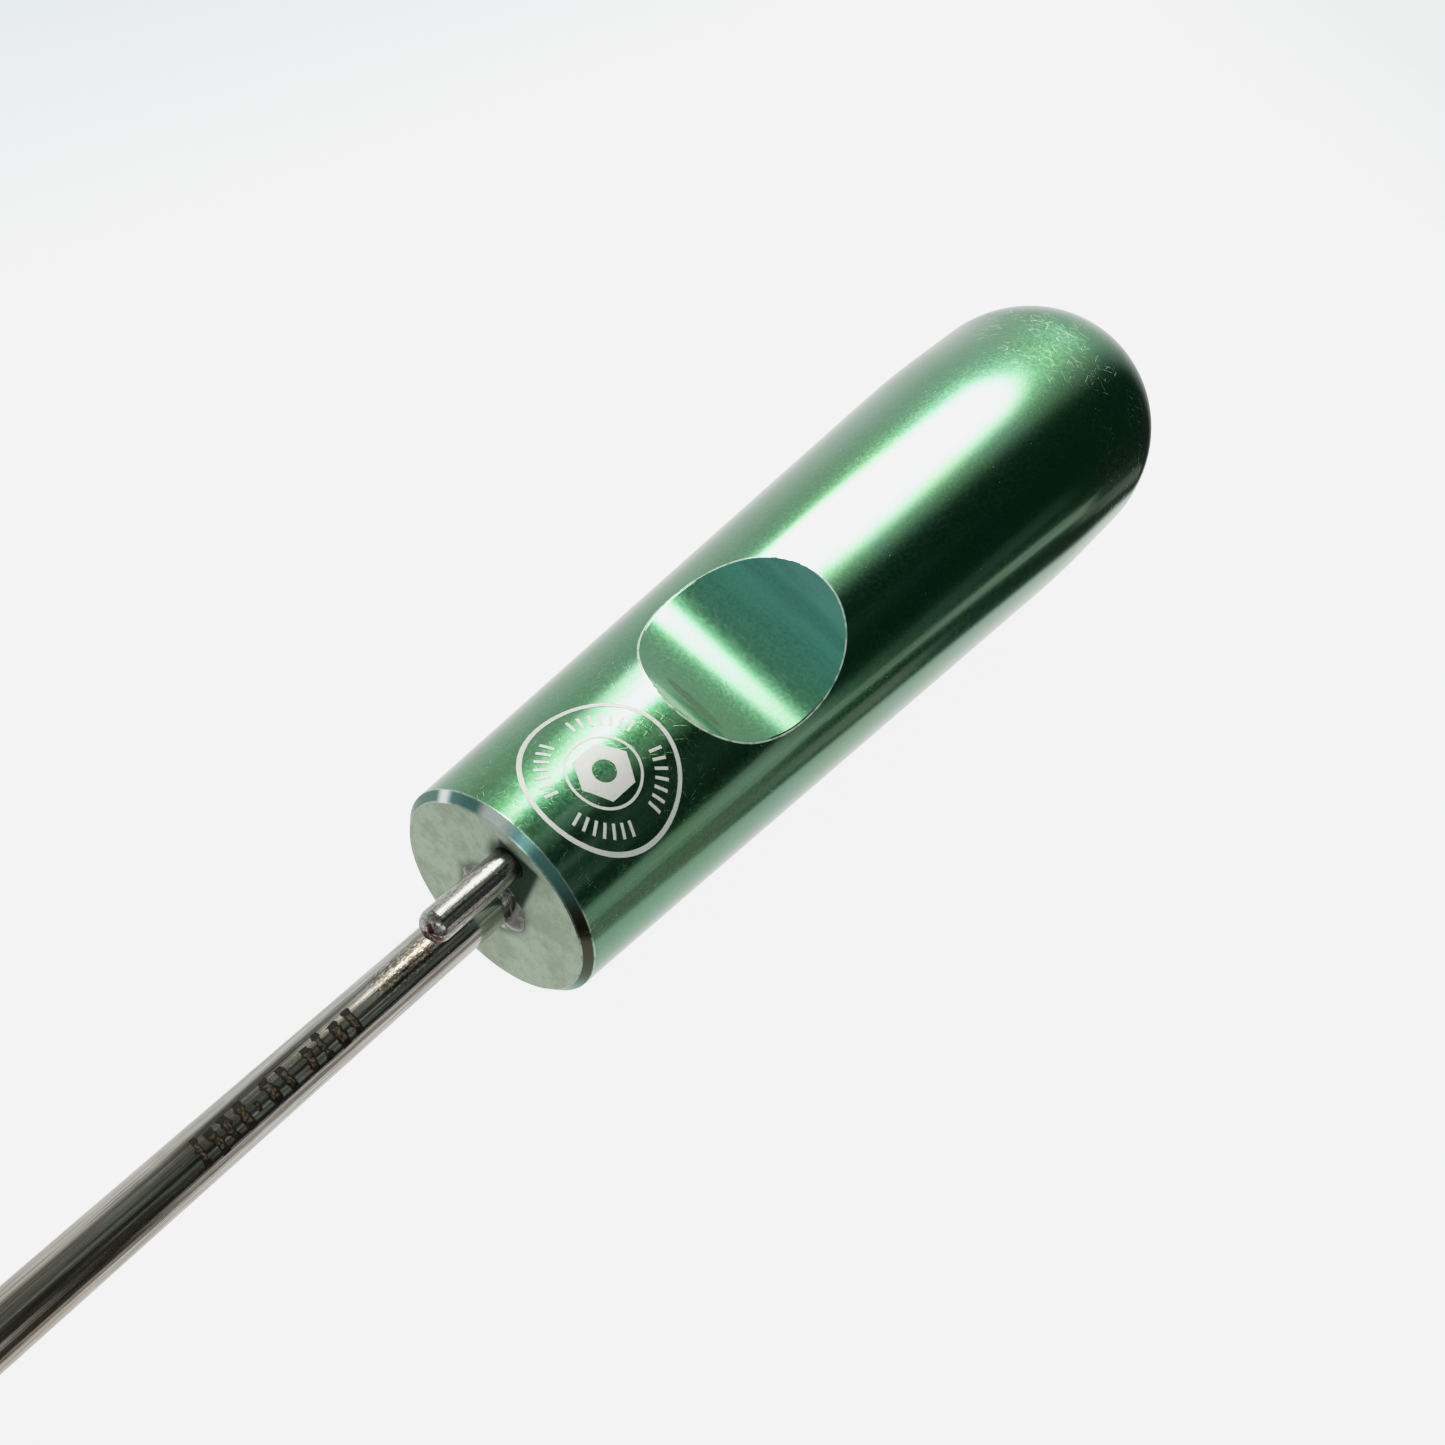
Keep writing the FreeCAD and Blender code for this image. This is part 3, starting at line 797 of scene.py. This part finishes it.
def dark_side_clutter(graph, azimuth, elevation):
    """Streaky pale shapes low on the dark side.

    Each shape has its azimuths, its elevations, its fall per degree of azimuth, its softness and its colour.
    """
    streaks = graph.noise(
        graph.vector(graph.product(azimuth, 0.04), graph.product(elevation, 1.1), 0.0), 1.0, 5.0, 0.75)
    streaks = graph.step(streaks, 0.32, 0.62, 0.20, 1.45)
    shapes = [
        (100.0, 124.0, -3.0, 13.0, 0.0, 4.0, (0.80, 0.75, 0.74)),
        (91.0, 104.0, -15.0, -5.0, 0.0, 4.0, (0.56, 0.55, 0.48)),
        (104.0, 129.0, 50.0, 58.0, 0.0, 5.0, (0.27, 0.29, 0.28)),
        (104.0, 122.0, -24.0, -3.5, 0.0, 3.0, (0.40, 0.34, 0.30)),
        (106.0, 119.0, 31.0, 46.0, 0.0, 6.0, (0.16, 0.17, 0.17)),
        (122.0, 137.0, 3.0, 11.0, 0.0, 4.0, (0.08, 0.09, 0.09)),
        (123.0, 142.0, -1.5, 4.0, -0.62, 2.5, (0.60, 0.58, 0.54)),
        (122.0, 132.0, -17.0, -9.0, -0.45, 4.0, (0.42, 0.38, 0.36)),
        (141.0, 156.0, -16.0, -11.5, -0.70, 2.0, (0.20, 0.19, 0.17)),
    ]
    light = (0.0, 0.0, 0.0)
    for az_low, az_high, el_low, el_high, slope, soft, colour in shapes:
        fall = graph.product(graph.math("SUBTRACT", azimuth, az_low), slope)
        level = graph.math("SUBTRACT", elevation, fall)
        mask = graph.product(graph.band(azimuth, az_low, az_high, 5.0, 5.0),
                             graph.band(level, el_low, el_high, soft, soft), streaks)
        light = graph.plus(light, graph.tint(colour, mask))
    return light


def far_lamps(graph, azimuth, elevation):
    """A small lamp before the face, and soft strips that only the far sides of the object catch."""
    lamp = graph.product(graph.band(azimuth, 340.0, 356.0, 6.0, 5.0),
                         graph.band(elevation, 27.0, 46.0, 8.0, 8.0))
    side_strip = graph.product(graph.band(azimuth, 58.0, 92.0, 12.0, 10.0),
                               graph.band(elevation, 22.0, 44.0, 10.0, 10.0))
    top_strip = graph.product(graph.step(azimuth, 70.0, 50.0), graph.band(elevation, 50.0, 64.0, 8.0, 8.0))
    amount = graph.total(
        graph.product(lamp, 2.6), graph.product(side_strip, 1.3), graph.product(top_strip, 1.6))
    return graph.tint((1.0, 1.0, 1.0), amount)


def make_floor():
    """A pale table that touches the cone from below, with painted shade towards -Y and far -X. Seen from
    underneath it lets the view through.
    """
    material, graph = new_material("table")
    where, (x, y, _) = graph.place()
    # Painted shade: darker and bluish towards -Y and far -X, back to plain white from 440 to 800 mm out.
    shade = graph.mix(graph.step(y, -70.0, -160.0), (1.0, 1.0, 1.0), (0.62, 0.70, 0.75))
    shade = graph.mix(graph.step(x, -200.0, -450.0, 0.0, 0.8), shade, (0.66, 0.73, 0.72))
    from_centre = graph.distance(where, (0.0, 0.0, 0.0))
    shade = graph.mix(graph.step(from_centre, 440.0, 800.0), shade, (1.0, 1.0, 1.0))
    seen = graph.add("ShaderNodeLightPath").outputs["Is Camera Ray"]
    strength = graph.step(seen, 0.0, 1.0, ROOM, TABLE_GLOW)
    paper = graph.add("ShaderNodeEmission", {"Color": shade, "Strength": strength})
    matt = graph.add("ShaderNodeBsdfDiffuse", {"Color": (0.12, 0.12, 0.12)})
    clear = graph.add("ShaderNodeBsdfTransparent")
    front = graph.add("ShaderNodeAddShader", {0: paper.outputs["Emission"], 1: matt.outputs["BSDF"]})
    back = graph.add("ShaderNodeNewGeometry").outputs["Backfacing"]
    both = graph.add("ShaderNodeMixShader", {0: back, 1: front.outputs["Shader"], 2: clear.outputs["BSDF"]})
    graph.add("ShaderNodeOutputMaterial", {"Surface": both.outputs["Shader"]})

    half = 1.5
    mesh = bpy.data.meshes.new("floor")
    corners = [(-half, -half, 0), (half, -half, 0), (half, half, 0), (-half, half, 0)]
    mesh.from_pydata(corners, [], [(0, 1, 2, 3)])
    floor = bpy.data.objects.new("floor", mesh)
    bpy.context.scene.collection.objects.link(floor)
    floor.data.materials.append(material)
    floor.location = (0, 0, -NOSE_RADIUS)
    floor.rotation_euler = (0, -math.atan(CONE_SLOPE), 0)
    floor.visible_glossy = False


def make_camera():
    azimuth = math.radians(CAMERA_AZIMUTH)
    elevation = math.radians(CAMERA_ELEVATION)
    roll = math.radians(CAMERA_ROLL)
    level = Vector((math.cos(azimuth), math.sin(azimuth), 0))
    back = Vector((math.sin(azimuth) * math.cos(elevation), -math.cos(azimuth) * math.cos(elevation),
                   math.sin(elevation)))
    up = back.cross(level) * math.cos(roll) - level * math.sin(roll)
    right = up.cross(back)
    data = bpy.data.cameras.new("camera")
    data.lens = CAMERA_LENS
    data.sensor_width = 36.0
    data.clip_start = 0.01
    data.clip_end = 20.0
    camera = bpy.data.objects.new("camera", data)
    bpy.context.scene.collection.objects.link(camera)
    turn = Matrix((right, up, back)).transposed()
    camera.matrix_world = Matrix.Translation(CAMERA_TARGET + back * CAMERA_DISTANCE) @ turn.to_4x4()
    bpy.context.scene.camera = camera


def set_film():
    """A soft shoulder on each channel, which ends every highlight at the table's white."""
    view = bpy.context.scene.view_settings
    view.view_transform = "Standard"
    view.use_curve_mapping = True
    mapping = view.curve_mapping
    mapping.white_level = (FILM_WHITE, FILM_WHITE, FILM_WHITE)
    mapping.extend = "HORIZONTAL"
    shoulder = [(0.2, 0.200), (0.4, 0.385), (0.6, 0.545), (0.8, 0.670),
                (1.0, 0.765), (1.2, 0.835), (1.4, 0.880)]
    curve = mapping.curves[3]
    curve.points[-1].location = (1.0, 0.905)
    for light, shown in shoulder:
        curve.points.new(light / FILM_WHITE, shown)
    for point in curve.points:
        point.handle_type = "VECTOR"
    mapping.update()


def finish_node(name, material):
    """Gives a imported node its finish."""
    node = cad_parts[name]
    node.data.materials.clear()
    node.data.materials.append(material)


anodised = anodised_material()
finish_node("handle", anodised)
add_handle_skin(anodised)
finish_node("shaft", steel_material("drawn_steel", shaft_stains))
finish_node("alignment_pin", steel_material("polished_steel_pin", pin_stains_and_root_shade, dulled=0.07))
adhesive = adhesive_material()
finish_node("shaft_bond", adhesive)
add_bond_bead(adhesive)
add_emblem(marking_material())
burnt_etching = etching_material("burnt_etching", (0.003, 0.003, 0.003), (0.016, 0.014, 0.009))
brown_etching = etching_material("brown_etching", (0.010, 0.009, 0.006), (0.115, 0.090, 0.048))
add_graduations("shaft_graduations", burnt_etching, 1.0, 0.010 * MM)
add_graduations("graduation_cores", brown_etching, 0.55, 0.016 * MM)

make_world()
make_floor()
make_camera()
set_film()
